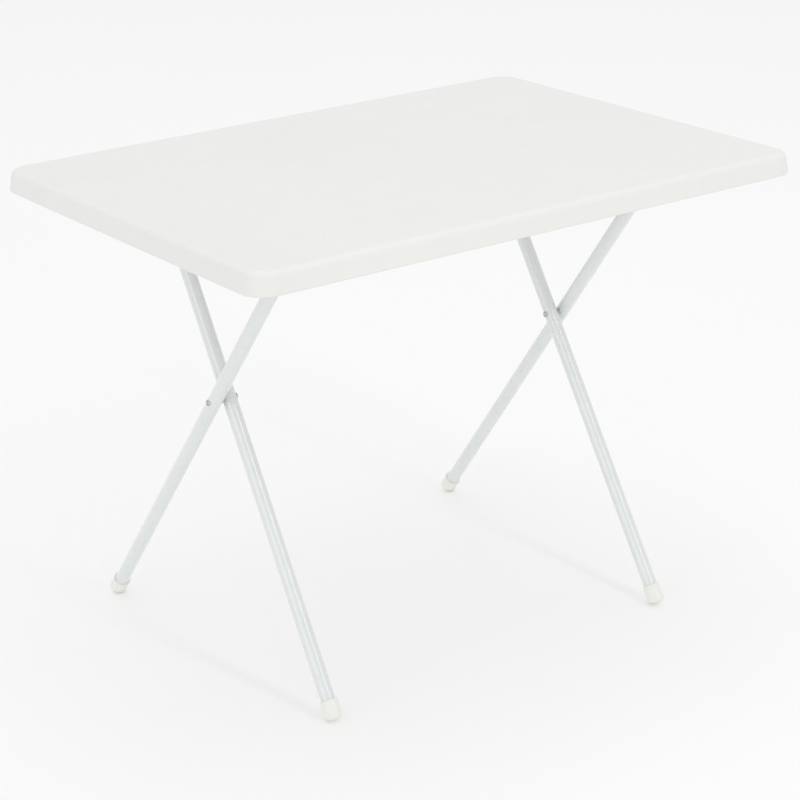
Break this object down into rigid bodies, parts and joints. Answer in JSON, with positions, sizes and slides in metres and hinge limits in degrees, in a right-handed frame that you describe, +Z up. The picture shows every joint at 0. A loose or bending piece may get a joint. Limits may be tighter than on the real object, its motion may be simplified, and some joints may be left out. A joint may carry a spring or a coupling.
{
  "type": "folding table",
  "caption": "White moulded resin folding table with rounded corners on two crossing U-shaped steel tube leg frames that close like scissors under the top.",
  "frame": {"origin": "on the floor under the centre of the tabletop", "axes": "+X along the tabletop's long side, +Y along its short side towards the side where the outer leg frame's feet stand, +Z up"},
  "size_m": [0.787, 0.57, 0.6],
  "materials": {
    "top_resin": "smooth satin-gloss moulded resin, warm white",
    "leg_paint": "gloss powder coat, cool white",
    "foot_plastic": "smooth ivory plastic",
    "rivet_steel": "zinc-plated rolled steel",
    "washer_nylon": "matte dark nylon",
    "bracket_plastic": "matte off-white moulded nylon",
    "screw_steel": "zinc-plated steel"
  },
  "bodies": {
    "table": {"tabletop": "top_resin", "pivot_clip_left": "bracket_plastic", "pivot_clip_right": "bracket_plastic", "retaining_hook_left": "bracket_plastic", "retaining_hook_right": "bracket_plastic", "pivot_clip_screws": "screw_steel", "hook_screws": "screw_steel"},
    "outer_legs": {"outer_leg_frame": "leg_paint", "foot_cap_outer_left": "foot_plastic", "foot_cap_outer_right": "foot_plastic", "rivet_left": "rivet_steel", "rivet_right": "rivet_steel", "spacer_washer_left": "washer_nylon", "spacer_washer_right": "washer_nylon"},
    "inner_legs": {"inner_leg_frame": "leg_paint", "foot_cap_inner_left": "foot_plastic", "foot_cap_inner_right": "foot_plastic"}
  },
  "joints": [
    {"name": "leg_swing", "type": "hinge", "parent": "table", "child": "outer_legs", "pos_m": [0, -0.16949, 0.58], "axis": [1, 0, 0], "range_deg": [-32.7, 50]},
    {"name": "scissor", "type": "hinge", "parent": "outer_legs", "child": "inner_legs", "pos_m": [0, 0.0119, 0.347], "axis": [1, 0, 0], "range_deg": [0, 69.5]}
  ],
  "couplings": [
    {"joint": "leg_swing", "follows": "scissor", "ratio": -0.47}
  ]
}
